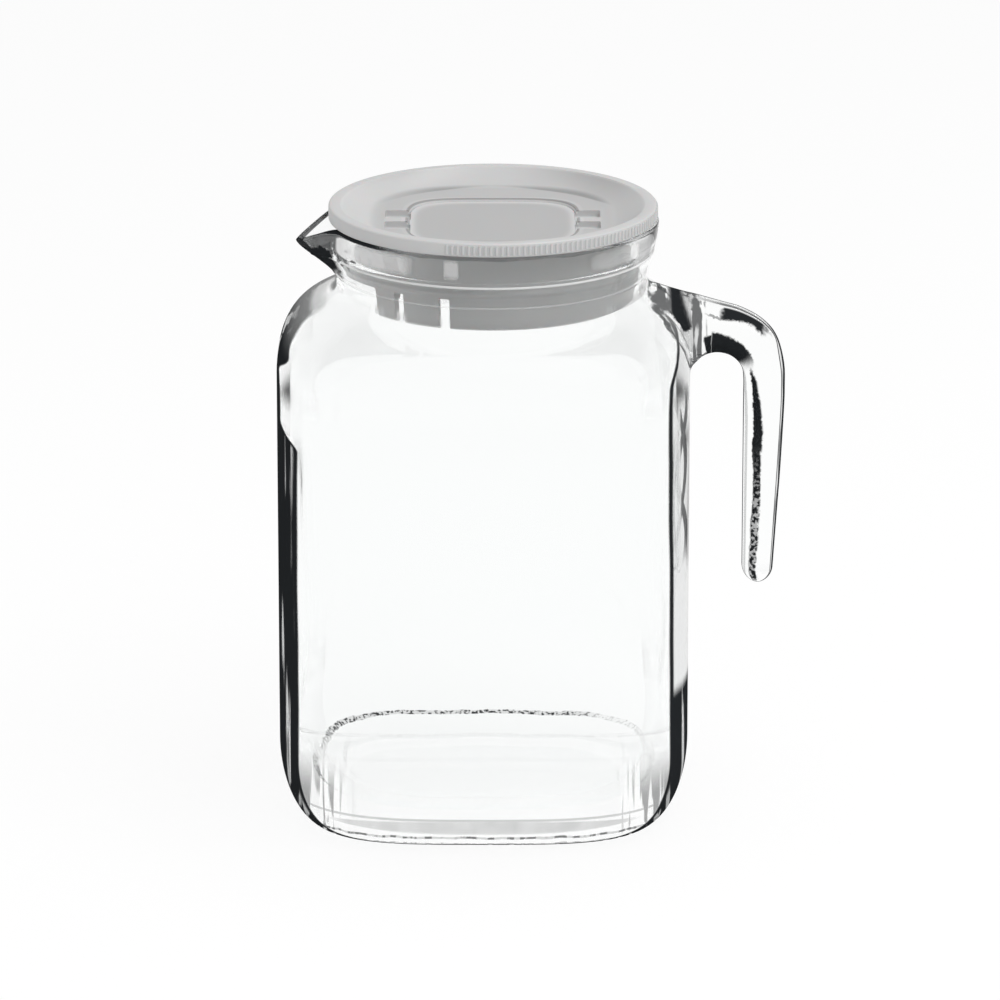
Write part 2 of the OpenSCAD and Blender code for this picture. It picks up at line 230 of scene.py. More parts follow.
def settle(obj):
    """Turns an object's modifiers into a plain mesh"""
    graph = bpy.context.evaluated_depsgraph_get()
    made = bpy.data.meshes.new_from_object(obj.evaluated_get(graph), depsgraph=graph)
    old = obj.data
    obj.modifiers.clear()
    obj.data = made
    made.name = obj.name
    bpy.data.meshes.remove(old)


def combine(obj, other, how):
    """Joins or cuts one closed object with another, which is used up"""
    change = obj.modifiers.new("combine", "BOOLEAN")
    change.operation = how
    change.solver = "EXACT"
    change.object = other
    bpy.context.view_layer.update()
    settle(obj)
    bpy.data.objects.remove(other)


def rounded_box(low, high, radius, turn=0.0):
    """A box with rounded edges, turned about the Z axis, to cut with"""
    shape = bmesh.new()
    bmesh.ops.create_cube(shape, size=1)
    low, high = Vector(low), Vector(high)
    size, middle = high - low, (high + low) / 2
    bmesh.ops.transform(shape, matrix=Matrix.Diagonal((*size, 1)), verts=shape.verts)
    bmesh.ops.bevel(shape, geom=shape.edges, offset=radius, segments=3, profile=0.5, affect="EDGES")
    bmesh.ops.transform(shape, matrix=Matrix.Rotation(turn, 4, "Z") @ Matrix.Translation(middle), verts=shape.verts)
    mesh = bpy.data.meshes.new("cutter")
    shape.to_mesh(mesh)
    shape.free()
    return link("cutter", mesh)


# ---- The glass jug ----

def jug_angles():
    """Directions of the points of each glass section, closer together at the lip and the handle"""
    side = np.arange(30, 146, 2.4)
    lip = np.arange(148, 180, 0.8)
    half = np.concatenate([np.arange(0, 30, 1.2), side, lip])
    return np.radians(np.concatenate([half, [180], 360 - half[:0:-1]]))


def axis_x(glass):
    """Place of the body's axis in the shared frame"""
    return JUG_LOW[0] + glass.body_w / 2


def lip_amount(angles, half):
    """1 at the tip of the lip, 0 beyond its half angle"""
    tip_round = math.radians(1.6)
    off = np.sqrt((angles - math.pi) ** 2 + tip_round ** 2) - tip_round / 2
    return np.clip(1 - off / half, 0, None) ** 1.9


def wall_waves(angles, z):
    """Slow waves in the thickness of the wall, from 0 to 1"""
    waves = ((1, 3, 52, 0.6), (0.8, 5, -71, 2.1), (0.6, 9, 34, 4.0), (0.5, 14, -118, 1.2))
    run = sum(size * np.sin(turns * angles + climb * z + start) for size, turns, climb, start in waves)
    return 0.5 + run / 5.8


def ease(rings, first, last, passes):
    """Softens a corner that runs round between two of the sections"""
    for _ in range(passes):
        for k in range(first, last):
            rings[k] = (rings[k - 1] + 2 * rings[k] + rings[k + 1]) / 4


class Sections:
    """Rings of points for the sections of the glass"""

    heel_steps, wall_steps, shoulder_steps = 22, 44, 30
    fire_round = 0.0012
    line_w = 0.00035
    # The core of the wall that the handle's root ends on, from the top of the heel to the neck
    core_inset, core_rings = 0.0016, slice(21, 120)

    def __init__(self, glass):
        self.glass, self.angles = glass, jug_angles()
        self.rim_z = glass.body_h + glass.neck_h
        self.lip_z = glass.body_h + glass.lip_start_h
        self.lower, self.upper = glass.body_h + glass.lower_ring_h, glass.body_h + glass.upper_ring_h
        self.shoulder_z = glass.body_h - glass.shoulder_h
        # The channel inside the lip is narrower than the lip
        self.channel = glass.lip_half - math.radians(3.6)

    def ring(self, middle, radius, z):
        x, y = middle + radius * np.cos(self.angles), radius * np.sin(self.angles)
        return np.column_stack([x, y, z + np.zeros_like(x)])

    def body(self, half, squareness, z, shift=0.0):
        return self.ring(axis_x(self.glass) + shift, squircle(half, squareness, self.angles), z)

    def shoulder(self, t, neck_r, body_r, z, less=0.0):
        """A section between the round neck, with t a right angle, and the squarer body, with t at 0"""
        out = math.cos(t)
        squareness = 2 + (self.glass.body_share - 2) * out
        return self.body(neck_r + (body_r - neck_r) * out - less, squareness, z, self.glass.neck_shift * (1 - out))

    def neck(self, radius, z, rise, half):
        """A section of the neck, pushed out and down at the lip"""
        glass = self.glass
        amount = lip_amount(self.angles, half)
        reach = radius + glass.lip_reach * (math.sin(math.pi / 2 * min(rise, 1)) ** 1.5 * amount)
        return self.ring(axis_x(glass) + glass.neck_shift, reach, z - glass.lip_drop * rise ** 2 * amount)

    def rise(self, z):
        """0 where the lip starts and 1 at the rim"""
        return max(0, (z - self.lip_z) / (self.rim_z - self.lip_z))

    def outside(self, inset=0.0):
        """Sections of the outside from the foot to the rim"""
        glass = self.glass
        body_r, neck_r, rim_r = glass.body_w / 2 - inset, glass.neck_d / 2 - inset, glass.rim_d / 2 - inset
        rings = []
        for t in np.linspace(0, math.pi / 2, self.heel_steps):
            squareness = glass.foot_share + (glass.body_share - glass.foot_share) * math.sin(t)
            half = body_r - glass.foot_inset + glass.foot_inset * math.sin(t)
            rings.append(self.body(half, squareness, glass.heel_h * (1 - math.cos(t))))
        for z in np.linspace(glass.heel_h, self.shoulder_z, self.wall_steps)[1:-1]:
            rings.append(self.body(body_r, glass.body_share, z))
        for t in np.linspace(0, math.pi / 2, self.shoulder_steps):
            rings.append(self.shoulder(t, neck_r, body_r, self.shoulder_z + glass.shoulder_h * math.sin(t)))
        corner = len(rings)
        levels = list(np.linspace(glass.body_h + 0.001, self.rim_z - self.fire_round, 26))
        levels += [c + d * self.line_w for c in (self.lower, self.upper) for d in (-2, -1.2, -0.5, 0, 0.5, 1.2, 2)]
        for z in sorted(levels):
            flare = math.sin(math.pi / 2 * max(0, z - self.lower) / (self.rim_z - self.lower))
            proud = sum(math.exp(-(((z - c) / self.line_w) ** 2)) for c in (self.lower, self.upper))
            radius = neck_r + (rim_r - neck_r) * flare + glass.ring_step / 2 * proud
            rings.append(self.neck(radius, z, self.rise(z), glass.lip_half))
        ease(rings, corner - 7, corner + 6, 30)
        return rings

    def rim(self):
        """The rounded rim, from its outside over the top to the mouth"""
        glass, rings = self.glass, []
        turns = np.linspace(0, math.pi / 2, 7)[1:]
        for edge, side, half, run in (
            (glass.rim_d / 2, -1, glass.lip_half, turns),
            (glass.mouth_d / 2, 1, self.channel, turns[::-1]),
        ):
            for t in run:
                z = self.rim_z - self.fire_round * (1 - math.sin(t))
                radius = edge + side * self.fire_round * (1 - math.cos(t))
                rings.append(self.neck(radius, z, self.rise(z), half))
        return rings

    def inside(self):
        """Sections of the inside from the mouth down to the floor"""
        glass = self.glass
        bore_r, mouth_r = glass.bore_d / 2, glass.mouth_d / 2
        inner_r = glass.body_w / 2 - glass.wall_t
        rings = []
        for s in np.linspace(0.92, 0.0, 26):
            z = self.lip_z + glass.wall_t + (self.rim_z - self.lip_z - glass.wall_t) * s
            up = max(0, z - self.upper) / (self.rim_z - self.upper)
            rings.append(self.neck(bore_r + (mouth_r - bore_r) * math.sqrt(up), z, s, self.channel))
        rings.append(self.neck(bore_r, self.lip_z, 0, self.channel))
        corner = len(rings)
        for t in np.linspace(math.pi / 2, 0, self.shoulder_steps):
            z = self.shoulder_z + (glass.shoulder_h - glass.wall_t) * math.sin(t)
            rings.append(self.shoulder(t, bore_r, inner_r, z, self.wave(z) * math.cos(t)))
        heel_top = glass.floor_t + glass.heel_h - glass.floor_t / 4
        for z in np.linspace(self.shoulder_z, heel_top, self.wall_steps)[1:-1]:
            rings.append(self.body(inner_r - self.wave(z), glass.body_share, z))
        for t in np.linspace(math.pi / 2, 0, self.heel_steps):
            z = glass.floor_t + (heel_top - glass.floor_t) * (1 - math.cos(t))
            half = inner_r * (0.62 + 0.38 * math.sin(t) ** 0.9) - self.wave(z) * math.sin(t)
            rings.append(self.body(half, glass.body_share, z))
        for s in (0.5, 0.36, 0.22, 0.1):
            rings.append(self.body(inner_r * s, glass.body_share, glass.floor_t))
        ease(rings, corner - 7, corner + 8, 30)
        return rings

    def base(self):
        """The hollow under the base, from near its middle out to the contact ring"""
        glass = self.glass
        edge = glass.body_w / 2 - glass.foot_inset - glass.ring_w
        rings = []
        for s in np.linspace(0.06, 1, 18):
            rings.append(self.body(edge * s, glass.foot_share, glass.hollow_depth * (1 - s ** 2.6) ** 1.4))
        for s in (0.25, 0.5, 0.75):
            rings.append(self.body(edge + glass.ring_w * s, glass.foot_share, 0))
        return rings

    def wave(self, z):
        """How much a slow wave takes off the inside of the wall"""
        return self.glass.wave * wall_waves(self.angles, z)


def follow(stations, steps):
    """A smooth run through rows of numbers, with a few steps from row to row"""
    rows = np.array(stations, float)
    rows = np.vstack([2 * rows[0] - rows[1], rows, 2 * rows[-1] - rows[-2]])
    out = []
    for k in range(1, len(rows) - 2):
        a, b, c, d = rows[k - 1:k + 3]
        for s in np.arange(steps) / steps:
            bend, twist = 2 * a - 5 * b + 4 * c - d, 3 * b - a - 3 * c + d
            out.append(0.5 * (2 * b + (c - a) * s + bend * s ** 2 + twist * s ** 3))
    out.append(rows[-2])
    return np.array(out)


def handle_rows(glass, handle):
    """Inner point, outer point (x, z) and width of each section of the handle, from its root to its free end"""
    body_r = glass.body_w / 2
    inner_x = body_r + handle.finger_gap
    bend_r = handle.finger_gap / 2
    bend_x, bend_z = inner_x - bend_r, handle.under_z - bend_r
    outer_x = inner_x + handle.grip_t
    top_z = handle.under_z + 0.0146
    mm = 0.001
    stations = []
    # The root
    for x, z, out, up, less in ((-14.5, -1, -14.5, 7.2, 0), (-7, 0, -7.4, 4.8, 2.6), (-0.8, 1.6, -1.6, 3.1, 4.6)):
        inner, outer = (body_r + x * mm, bend_z + z * mm), (body_r + out * mm, top_z + up * mm)
        stations.append((*inner, *outer, handle.root_w - less * mm))
    # The bend, round an arc on its inside
    for turn, out, up, width in (
        (150, 1.2, 2.4, 22.6), (122, 4.6, 1.4, 21.4), (94, 9.4, 0.0, 20.6),
        (66, 15.8, -1.9, 20.0), (42, 22.2, -5.5, 19.7), (20, 26.5, -10.6, 19.6),
    ):
        t = math.radians(turn)
        inner = bend_x + bend_r * math.cos(t), bend_z + bend_r * math.sin(t)
        stations.append((*inner, body_r + out * mm, top_z + up * mm, width * mm))
    # The top of the grip, and then its straight run
    for z, out, up, less in ((-1, -0.3, 4.4, 0), (-6, 0, -3, 0), (-12, -0.2, -11, 0.2)):
        outer = outer_x + out * mm, bend_z + up * mm
        stations.append((inner_x, bend_z + z * mm, *outer, handle.grip_w - less * mm))
    end_z = handle.end_z + handle.grip_end_t / 2
    for s in (0.35, 0.6, 0.85, 1.0):
        z = bend_z - 12 * mm + (end_z - bend_z + 12 * mm) * s
        thick = handle.grip_t + (handle.grip_end_t - handle.grip_t) * s
        wide = handle.grip_w + (handle.grip_end_w - handle.grip_w) * s
        stations.append((inner_x, z, inner_x + thick, z, wide))
    rows = follow(stations, 9)
    # The rounded free end
    x, z, outer, _, wide = rows[-1]
    half = (outer - x) / 2
    caps = []
    for t in np.radians(np.linspace(6, 86, 14)):
        less, low = half * (1 - math.cos(t)), z - half * math.sin(t)
        caps.append((x + less, low, outer - less, low, wide - 2 * less))
    return np.vstack([rows, caps])


def handle_rings(glass, rows):
    """Rounded sections of the handle, and the points that close it at either end"""
    round_angles = np.radians(np.arange(0, 360, 6.0))
    across = squircle(0.5, 2.5, round_angles)
    out, side = across * np.cos(round_angles), across * np.sin(round_angles)
    rings = []
    for x0, z0, x1, z1, wide in rows:
        x, z = (x0 + x1) / 2 + out * (x1 - x0), (z0 + z1) / 2 + out * (z1 - z0)
        rings.append(np.column_stack([axis_x(glass) + x, -side * wide, z]))
    end_bulge = 0.00002
    return rings, rings[0].mean(axis=0), rings[-1].mean(axis=0) - (0, 0, end_bulge)


def vectors(obj, name):
    """A vector of each point of a mesh"""
    flat = np.empty(3 * len(obj.data.vertices))
    obj.data.vertices.foreach_get(name, flat)
    return flat.reshape(-1, 3)


def mark_places(obj, plain, root, rows, glass):
    """Stores where each point lies on the handle and on the lip, for the painted dark refraction in the glass"""
    points, normals = vectors(obj, "co"), vectors(obj, "normal")
    # Across the handle from its inner to its outer face, along it from the body's side, and whether on it
    inner, outer = rows[:, 0:2], rows[:, 2:4]
    middle = (inner + outer) / 2
    run = np.concatenate([[0], np.cumsum(np.linalg.norm(np.diff(middle, axis=0), axis=1))])
    run -= np.interp(glass.body_w / 2, middle[:60, 0], run[:60])
    grip = np.zeros_like(points)
    trees = [BVHTree.FromObject(o, bpy.context.evaluated_depsgraph_get()) for o in (plain, root)]
    beyond, beside = axis_x(glass) + glass.body_w * 0.32, 0.03
    near = np.flatnonzero((points[:, 0] > beyond) & (np.abs(points[:, 1]) < beside))
    for i in near:
        place = Vector(points[i])
        body, arm = (tree.find_nearest(place)[3] for tree in trees)
        if arm < body:
            x, z = points[i, 0] - axis_x(glass), points[i, 2]
            k = int(np.argmin((middle[:, 0] - x) ** 2 + (middle[:, 1] - z) ** 2))
            span = outer[k] - inner[k]
            grip[i] = ((np.array([x, z]) - inner[k]) @ span / (span @ span), run[k], 1)
    # How much of the lip there is, how far up it, and whether outside
    side = points[:, :2] - (axis_x(glass) + glass.neck_shift, 0)
    turn = np.arctan2(side[:, 1], side[:, 0])
    amount = lip_amount(np.abs(turn), glass.lip_half)
    start, rim = glass.body_h + glass.lip_start_h, glass.body_h + glass.neck_h
    height = (points[:, 2] + glass.lip_drop * amount * 0.8 - start) / (rim - start)
    level = np.where(points[:, 2] < glass.heel_h, 0.2, 0.0) * np.linalg.norm(side, axis=1)
    facing_out = (normals[:, :2] * side).sum(axis=1) > level
    lip = np.column_stack([amount * (height > 0), np.clip(height, 0, 1), facing_out])
    for name, values in (("grip", grip), ("lip", lip)):
        mark = obj.data.attributes.new(name, "FLOAT_VECTOR", "POINT")
        mark.data.foreach_set("vector", values.ravel())


def fuse_seam(obj, seam_of, reach):
    """Rounds the seam where the handle is fused to the body, by easing the points near it"""
    double, touch = 2e-6, 0.0004
    shape = bmesh.new()
    shape.from_mesh(obj.data)
    bmesh.ops.remove_doubles(shape, verts=shape.verts, dist=double)
    shape.verts.ensure_lookup_table()
    trees = [BVHTree.FromObject(o, bpy.context.evaluated_depsgraph_get()) for o in seam_of]
    on_seam = []
    for v in shape.verts:
        hits = [tree.find_nearest(v.co, touch) for tree in trees]
        if all(hit[0] is not None for hit in hits):
            on_seam.append(v.co.copy())
    tree = KDTree(len(on_seam))
    for i, place in enumerate(on_seam):
        tree.insert(place, i)
    tree.balance()
    near = [(v, tree.find(v.co)[2]) for v in shape.verts]
    for part in (1.0, 0.8, 0.6, 0.45):
        band = [v for v, distance in near if distance < reach * part]
        for _ in range(5):
            bmesh.ops.smooth_vert(shape, verts=band, factor=0.5, use_axis_x=True, use_axis_y=True, use_axis_z=True)
    shape.to_mesh(obj.data)
    shape.free()
    return len(on_seam)


class PITCHER_OT_jug(Operator):
    """Builds the clear glass jug, with its handle fused on, in place of the two glass solids"""

    bl_idname = "pitcher.jug"
    bl_label = "Glass jug"

    def execute(self, context):
        glass, handle = context.scene.pitcher_glass, context.scene.pitcher_handle
        sections = Sections(glass)
        middle = axis_x(glass)
        rings = sections.base() + sections.outside() + sections.rim() + sections.inside()
        jug = put("glass_jug", *skin(rings, (middle, 0, glass.hollow_depth), (middle, 0, glass.floor_t)))
        outward(jug)
        rows = handle_rows(glass, handle)
        grip = put("grip", *skin(*handle_rings(glass, rows)))
        outward(grip)
        rings = sections.outside(sections.core_inset)[sections.core_rings]
        core = put("core", *skin(rings, rings[0].mean(axis=0), rings[-1].mean(axis=0)))
        outward(core)
        combine(grip, core, "DIFFERENCE")
        plain, root = (link(obj.name, obj.data.copy()) for obj in (jug, grip))
        combine(jug, grip, "UNION")
        context.view_layer.update()
        if fuse_seam(jug, (plain, root), handle.fillet) < 20:
            raise RuntimeError("the handle doesn't meet the body")
        outward(jug)
        mark_places(jug, plain, root, rows, glass)
        for helper in (plain, root):
            bpy.data.objects.remove(helper)
        jug.data.materials.clear()
        jug.data.materials.append(glass_finish(context.scene.pitcher_finishes, glass))
        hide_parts("glass_body", "glass_handle")
        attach(jug, "jug")
        return {"FINISHED"}


# ---- The lid ----

def lid_places(lid, glass):
    """Heights and radii that the lid's shape is made from"""
    rim_z = glass.body_h + glass.neck_h
    top = rim_z + lid.flange_h
    dish = top - lid.dish_depth
    skirt_r = glass.bore_d / 2 - lid.seal_gap - lid.seal_bead
    return {
        "x": axis_x(glass) + glass.neck_shift,
        "rim": rim_z,
        "top": top,
        "dish": dish,
        "recess": dish - lid.recess_depth,
        "skirt_r": skirt_r,
        "skirt_in": skirt_r - lid.lid_t,
        "skirt_z": rim_z - lid.skirt_h,
    }


def lid_ring(x, wide, long, squareness, z, angles):
    radius = squircle(1, squareness, angles)
    return np.column_stack([
        x + wide / 2 * radius * np.cos(angles), long / 2 * radius * np.sin(angles), np.full_like(angles, z)
    ])


def corner(r0, z0, r1, z1, r2, z2, radius, steps=5):
    """Points of a rounded corner at the middle one of three places (radius, height)"""
    a, b, c = np.array([r0, z0]), np.array([r1, z1]), np.array([r2, z2])
    to_a, to_c = (a - b) / np.linalg.norm(a - b), (c - b) / np.linalg.norm(c - b)
    half = math.acos(float(np.clip(to_a @ to_c, -1, 1))) / 2
    run = min(radius / math.tan(half), np.linalg.norm(a - b) * 0.49, np.linalg.norm(c - b) * 0.49)
    start, end = b + to_a * run, b + to_c * run
    return [tuple((1 - s) ** 2 * start + 2 * s * (1 - s) * b + s ** 2 * end) for s in np.linspace(0, 1, steps)]


def lid_profile(lid, p):
    """The round parts of the lid: from the tray's underside out, down and up the skirt, and round the flange"""
    r_flange = lid.lid_d / 2 - lid.rib_depth
    groove = lid.lid_d / 2 - lid.land_w - lid.lid_t / 2
    under_dish, under_tray = p["dish"] - lid.lid_t, p["recess"] - lid.lid_t
    tray = math.hypot((lid.dish_w - lid.edge_round) / 2, lid.pocket_l / 2) + lid.lid_t / 2
    bead_z = p["skirt_z"] + lid.seal_bead_h
    path = [
        (0.004, under_tray), (tray, under_tray), (tray + lid.lid_t, under_dish),
        (p["skirt_in"], under_dish), (p["skirt_in"], p["skirt_z"]), (p["skirt_r"], p["skirt_z"]),
        (p["skirt_r"], bead_z - 0.0016), (p["skirt_r"], bead_z + 0.0016),
        (p["skirt_r"], p["rim"]), (groove - lid.lid_t / 2, p["rim"]), (groove + lid.lid_t / 2, p["top"] - lid.lid_t),
        (r_flange - lid.lid_t, p["top"] - lid.lid_t), (r_flange - lid.lid_t, p["rim"]),
        (r_flange, p["rim"]), (r_flange, p["top"]),
        (lid.lid_d / 2 - lid.land_w, p["top"]),
    ]
    radii = [0, 0.6, 0.4, 0.8, 0.45, 0.6, 0, 0, 0.2, 0.3, 0.4, 0.4, 0.3, 0.35, 0.8, 0]
    points = []
    for k, (radius, z) in enumerate(path):
        if k == 6:
            for s in np.linspace(-1, 1, 9):
                points.append((p["skirt_r"] + lid.seal_bead * math.cos(s * math.pi / 2) ** 2, bead_z + 0.0014 * s))
        elif k == 7:
            continue
        elif radii[k]:
            points += corner(*path[k - 1], radius, z, *path[k + 1], radii[k] / 1000)
        else:
            points.append((radius, z))
    # Long straight runs get points in between
    filled = [points[0]]
    for a, b in zip(points, points[1:]):
        steps = max(1, int(math.dist(a, b) / 0.0022))
        filled += [tuple(np.array(a) + (np.array(b) - np.array(a)) * i / steps) for i in range(1, steps + 1)]
    return filled


def lid_top(lid, p):
    """Widths, lengths, squareness and height of the lid's top, from the land in to the middle of the recess"""
    top_d, edge, r = lid.lid_d - 2 * lid.land_w, lid.recess_w, lid.edge_round
    rows = []
    # The land's inner edge rounds into the slope, which eases out on to the dish's floor
    for s in np.linspace(0.0, 1.0, 16):
        drop = s * s * (3 - 2 * s) * 0.45 + (1 - (1 - s) ** 2) * 0.55
        wide, long = (top_d + (size - top_d) * s for size in (lid.dish_w, lid.dish_l))
        rows.append((wide, long, 2 + 1.2 * s, p["top"] - lid.dish_depth * drop))
    even = [(edge + 4.4 * r, 3.6, p["dish"]), (edge + 1.6 * r, 3.9, p["dish"])]
    turns = np.linspace(0, math.pi / 2, 5)
    even += [(edge + 0.8 * r * (1 - math.sin(t)), 4, p["dish"] - 0.4 * r * (1 - math.cos(t))) for t in turns]
    even += [
        (edge - 0.5 * r - 0.8 * r * (1 - math.sin(t)), 4, p["recess"] + 0.4 * r * (1 - math.sin(t)))
        for t in turns[::-1]
    ]
    even += [(edge * s, 2 + 2 * s, p["recess"]) for s in (0.85, 0.6, 0.35, 0.12)]
    return rows + [(size, size, *rest) for size, *rest in even]


class PITCHER_OT_lid(Operator):
    """Builds the push-in lid, with its dished top, finger recess, pockets and slotted skirt"""

    bl_idname = "pitcher.lid"
    bl_label = "Lid"

    def execute(self, context):
        glass, lid = context.scene.pitcher_glass, context.scene.pitcher_lid
        p = lid_places(lid, glass)
        angles = np.radians(np.arange(0, 360, 1.5))
        rings = [lid_ring(p["x"], 2 * r, 2 * r, 2, z, angles) for r, z in lid_profile(lid, p)]
        rings += [lid_ring(p["x"], *row, angles) for row in lid_top(lid, p)[1:]]
        cover = put("lid_shell", *skin(rings, (p["x"], 0, rings[0][0][2]), (p["x"], 0, p["recess"])))
        outward(cover)
        self.cut_pockets(cover, lid, p)
        self.cut_skirt(cover, lid, p)
        outward(cover)
        cover.data.set_sharp_from_angle(angle=math.radians(38))
        cover.data.materials.clear()
        cover.data.materials.append(plastic_finish(context.scene.pitcher_finishes, lid, p))
        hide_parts("lid")
        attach(cover, "lid")
        return {"FINISHED"}

    def cut_pockets(self, cover, lid, p):
        inner = lid.recess_w / 2 - lid.edge_round
        outer = (lid.dish_w - lid.edge_round) / 2
        low_z = p["dish"] - lid.pocket_depth
        for end in (0, 1):
            for side in (-1, 1):
                y = sorted((side * lid.bar_w / 2, side * lid.pocket_l / 2))
                x = sorted((inner * (1 - 2 * end), outer * (1 - 2 * end)))
                low, high = (p["x"] + x[0], y[0], low_z), (p["x"] + x[1], y[1], p["dish"] + 0.004)
                combine(cover, rounded_box(low, high, 0.0007), "DIFFERENCE")

    def cut_skirt(self, cover, lid, p):
        half, slot = p["skirt_r"] * math.sin(lid.pour_half), lid.slot_w / 2
        low_z, high_z = p["skirt_z"] - 0.006, p["skirt_z"] + lid.slot_h
        cutters = [rounded_box((-2 * p["skirt_r"], -half, low_z), (0, half, high_z), 0.0006)]
        low, high = (p["skirt_in"] - 0.002, -slot, low_z), (p["skirt_r"] + 0.002, slot, high_z)
        for side in (-1, 1):
            for turn in (lid.slot_first, lid.slot_first + lid.slot_step):
                cutters.append(rounded_box(low, high, 0.0005, math.pi + side * turn))
        for cutter in cutters:
            cutter.data.transform(Matrix.Translation((p["x"], 0, 0)))
            combine(cover, cutter, "DIFFERENCE")


def rib_tree():
    """Geometry nodes that stand grip ribs along an arc and give them their finish"""
    tree = bpy.data.node_groups.new("grip ribs", "GeometryNodeTree")
    wanted = {
        "Geometry": "Geometry", "Ribs": "Int", "Radius": "Float", "Start": "Float", "Step": "Float",
        "Rib radius": "Float", "Rib height": "Float", "Middle": "Vector", "Finish": "Material",
    }
    for name, kind in wanted.items():
        tree.interface.new_socket(name=name, in_out="INPUT", socket_type="NodeSocket" + kind)
    tree.interface.new_socket(name="Geometry", in_out="OUTPUT", socket_type="NodeSocketGeometry")
    g = Graph(tree)
    given = dict(zip(wanted, g.node("NodeGroupInput")))
    index = g.node("GeometryNodeInputIndex")[0]
    turn = g.node("Math", index, given["Step"], given["Start"], operation="MULTIPLY_ADD")[0]
    across, along = (g.node("Math", turn, operation=operation)[0] for operation in ("COSINE", "SINE"))
    flat = g.node("CombineXYZ", across, along)[0]
    spread = g.node("CombineXYZ", given["Radius"], given["Radius"])[0]
    placed = g.node("VectorMath", flat, spread, given["Middle"], operation="MULTIPLY_ADD")[0]
    row = g.node("GeometryNodeMeshLine", given["Ribs"], None, None, (0, 0, 0), mode="OFFSET")[0]
    points = g.node("GeometryNodeSetPosition", row, None, placed)[0]
    bar = g.node("GeometryNodeMeshCylinder", 10, 3, 1, given["Rib radius"], given["Rib height"])[0]
    facing = g.node("CombineXYZ", None, None, turn)[0]
    stood = g.node("GeometryNodeInstanceOnPoints", points, None, bar, None, None, facing)[0]
    real = g.node("GeometryNodeRealizeInstances", stood)[0]
    g.node("NodeGroupOutput", g.node("GeometryNodeSetMaterial", real, None, given["Finish"])[0])
    return tree


def set_input(modifier, name, value):
    """Sets a modifier's input by its socket's identifier"""
    for socket in modifier.node_group.interface.items_tree:
        if socket.item_type == "SOCKET" and socket.in_out == "INPUT" and socket.name == name:
            modifier[socket.identifier] = value
            return
    raise RuntimeError(f"no input named {name}")


class PITCHER_OT_ribs(Operator):
    """Stands the grip ribs round the lid's edge, apart from the part in front of the lip"""

    bl_idname = "pitcher.ribs"
    bl_label = "Grip ribs"

    def execute(self, context):
        glass, lid = context.scene.pitcher_glass, context.scene.pitcher_lid
        p = lid_places(lid, glass)
        ribs = put("lid_ribs", [(p["x"], 0, p["rim"])], [])
        bars = ribs.modifiers.new("ribs", "NODES")
        bars.node_group = rib_tree()
        run = 2 * math.pi - 2 * lid.rib_start
        count = int(run / lid.rib_step)
        bar_r = 0.00052
        for name, value in {
            "Ribs": count,
            "Radius": lid.lid_d / 2 - bar_r,
            "Start": math.pi + lid.rib_start + (run - (count - 1) * lid.rib_step) / 2,
            "Step": lid.rib_step,
            "Rib radius": bar_r,
            "Rib height": lid.flange_h - 1.7 * lid.edge_round,
            "Middle": (p["x"], 0, p["rim"] + lid.flange_h / 2 - 0.00005),
            "Finish": bpy.data.materials["satin_plastic"],
        }.items():
            set_input(bars, name, value)
        bpy.context.view_layer.update()
        settle(ribs)
        if not ribs.data.polygons:
            raise RuntimeError("the ribs came out empty")
        ribs.data.shade_smooth()
        ribs.data.set_sharp_from_angle(angle=math.radians(50))
        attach(ribs, "lid")
        return {"FINISHED"}


# ---- Materials ----

GLASS_IOR = 1.25  # Less than real glass, or else the thick base turns black
PLASTIC_IOR = 1.51
WHITE = (1, 1, 1, 1)


class Value:
    """A socket that can be used in sums, each of which adds a Math node"""

    def __init__(self, graph, socket):
        self.graph, self.socket = graph, socket

    def sum(self, operation, *values):
        return self.graph.node("Math", *values, operation=operation)[0]

    def __add__(self, other):
        return self.sum("ADD", self, other)

    def __sub__(self, other):
        return self.sum("SUBTRACT", self, other)

    def __mul__(self, other):
        return self.sum("MULTIPLY", self, other)

    def __truediv__(self, other):
        return self.sum("DIVIDE", self, other)

    def __pow__(self, other):
        return self.sum("POWER", self, other)

    def __rsub__(self, other):
        return self.sum("SUBTRACT", other, self)

    __radd__ = __add__
    __rmul__ = __mul__

    def rise(self, start, end):
        """0 below start and 1 above end, with a smooth step between"""
        return self.graph.node("MapRange", self, start, end, 0.0, 1.0, interpolation_type="SMOOTHSTEP")[0]

    def fall(self, start, end):
        """1 below start and 0 above end"""
        return 1 - self.rise(start, end)

    def span(self, start, full, fade, end):
        """1 from full to fade, 0 outside start and end"""
        return self.rise(start, full) * self.fall(fade, end)

    def near(self, reach):
        """1 close to zero and 0 beyond a reach on either side"""
        return self.sum("ABSOLUTE", self).fall(0.6 * reach, reach)

    def most(self, *others):
        """The highest of this and some others"""
        value = self
        for other in others:
            value = self.sum("MAXIMUM", value, other)
        return value

    def wave(self, turns, shift):
        return self.sum("SINE", self * turns + shift)


